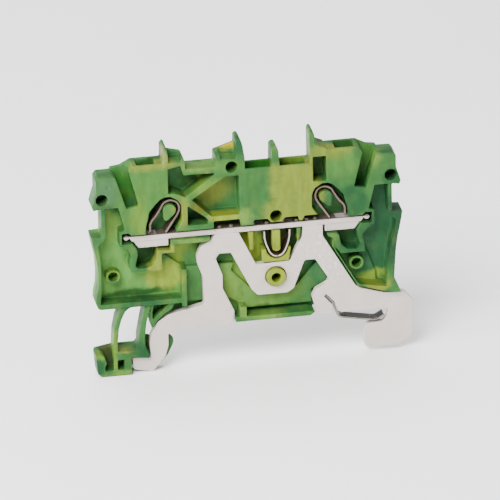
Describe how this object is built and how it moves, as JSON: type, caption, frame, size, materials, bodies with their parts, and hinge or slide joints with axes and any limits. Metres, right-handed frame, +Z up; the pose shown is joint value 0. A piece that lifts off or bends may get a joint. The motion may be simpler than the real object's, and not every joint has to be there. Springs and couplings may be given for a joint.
{
  "type": "din rail terminal block",
  "caption": "Slim open-sided earth terminal block with spring clamps, a current bar, a stamped metal rail foot and a sprung release foot.",
  "frame": {"origin": "on the top face of the mounting rail, below the middle of the housing, in the plane of the open side", "axes": "+X along the block and across the rail towards the fixed hook, +Y from the open side to the closed back and along the rail, +Z up away from the rail"},
  "size_m": [0.0493, 0.0046, 0.0375],
  "materials": {
    "housing_plastic": "two-colour green and yellow moulding, satin",
    "foot_metal": "plated, matt",
    "bar_metal": "tin plated",
    "clamp_spring_steel": "dark spring steel",
    "small_spring_steel": "bright spring steel"
  },
  "bodies": {
    "housing": {"back_wall": "housing_plastic", "brace_ribs": "housing_plastic", "centre_block": "housing_plastic", "centre_marker_carrier": "housing_plastic", "contact_spring": "small_spring_steel", "coupling_pegs": "housing_plastic", "current_bar": "bar_metal", "foot_rest": "housing_plastic", "ground_foot_plate": "foot_metal", "jumper_stops": "housing_plastic", "left_boss": "housing_plastic", "left_clamp_spring": "clamp_spring_steel", "left_column": "housing_plastic", "left_ear": "housing_plastic", "left_end_box": "housing_plastic", "left_floor": "housing_plastic", "left_floor_wall": "housing_plastic", "left_marker_carrier": "housing_plastic", "left_shelf_wall": "housing_plastic", "left_spring_core": "housing_plastic", "left_wire_collar": "bar_metal", "left_wire_guide": "housing_plastic", "left_wire_stop": "housing_plastic", "locating_boss": "housing_plastic", "rail_hook": "foot_metal", "rail_rib": "housing_plastic", "rail_spring_root": "small_spring_steel", "right_boss": "housing_plastic", "right_clamp_spring": "clamp_spring_steel", "right_ear": "housing_plastic", "right_end_box": "housing_plastic", "right_floor": "housing_plastic", "right_floor_wall": "housing_plastic", "right_marker_carrier": "housing_plastic", "right_shelf_wall": "housing_plastic", "right_spring_core": "housing_plastic", "right_wire_collar": "bar_metal", "right_wire_guide": "housing_plastic", "right_wire_stop": "housing_plastic", "short_marker_rib": "housing_plastic", "slot_cover": "housing_plastic", "slot_lintel": "housing_plastic", "slot_walls": "housing_plastic", "spring_cradle": "housing_plastic", "spring_finger": "housing_plastic", "top_bridge": "housing_plastic"},
    "release_foot": {"release_foot": "housing_plastic", "foot_web": "housing_plastic", "rail_finger": "housing_plastic", "rail_toe": "foot_metal", "outer_latch_arm": "housing_plastic", "inner_latch_arm": "housing_plastic", "foot_spring_leg": "foot_metal", "buffer_loop": "housing_plastic"},
    "left_clamp_leg": {"left_clamp_leg": "clamp_spring_steel"},
    "right_clamp_leg": {"right_clamp_leg": "clamp_spring_steel"},
    "left_contact_leg": {"left_contact_leg": "small_spring_steel"},
    "right_contact_leg": {"right_contact_leg": "small_spring_steel"},
    "rail_spring_leaf": {"rail_spring_leaf": "small_spring_steel"}
  },
  "joints": [
    {"name": "foot_release", "type": "slide", "parent": "housing", "child": "release_foot", "axis": [-0.9701, 0, 0.2425], "range_m": [0, 0.0025], "stiffness_N_per_m": 5000, "deforming": ["outer_latch_arm", "inner_latch_arm", "foot_spring_leg", "buffer_loop"]},
    {"name": "left_clamp", "type": "hinge", "parent": "housing", "child": "left_clamp_leg", "pos_m": [-0.01304, 0.00175, 0.0213], "axis": [0, -1, 0], "range_deg": [0, 15], "stiffness_Nm_per_rad": 0.1},
    {"name": "right_clamp", "type": "hinge", "parent": "housing", "child": "right_clamp_leg", "pos_m": [0.01344, 0.00175, 0.0213], "axis": [0, 1, 0], "range_deg": [0, 15], "stiffness_Nm_per_rad": 0.1},
    {"name": "left_contact", "type": "hinge", "parent": "housing", "child": "left_contact_leg", "pos_m": [0.00336, 0.00175, 0.01265], "axis": [0, 1, 0], "range_deg": [0, 7], "stiffness_Nm_per_rad": 0.02},
    {"name": "right_contact", "type": "hinge", "parent": "housing", "child": "right_contact_leg", "pos_m": [0.00594, 0.00175, 0.01265], "axis": [0, -1, 0], "range_deg": [0, 7], "stiffness_Nm_per_rad": 0.02},
    {"name": "rail_leaf", "type": "hinge", "parent": "housing", "child": "rail_spring_leaf", "pos_m": [0.01351, 0.00175, 0.00168], "axis": [0, -1, 0], "range_deg": [0, 6.5], "stiffness_Nm_per_rad": 0.3}
  ]
}
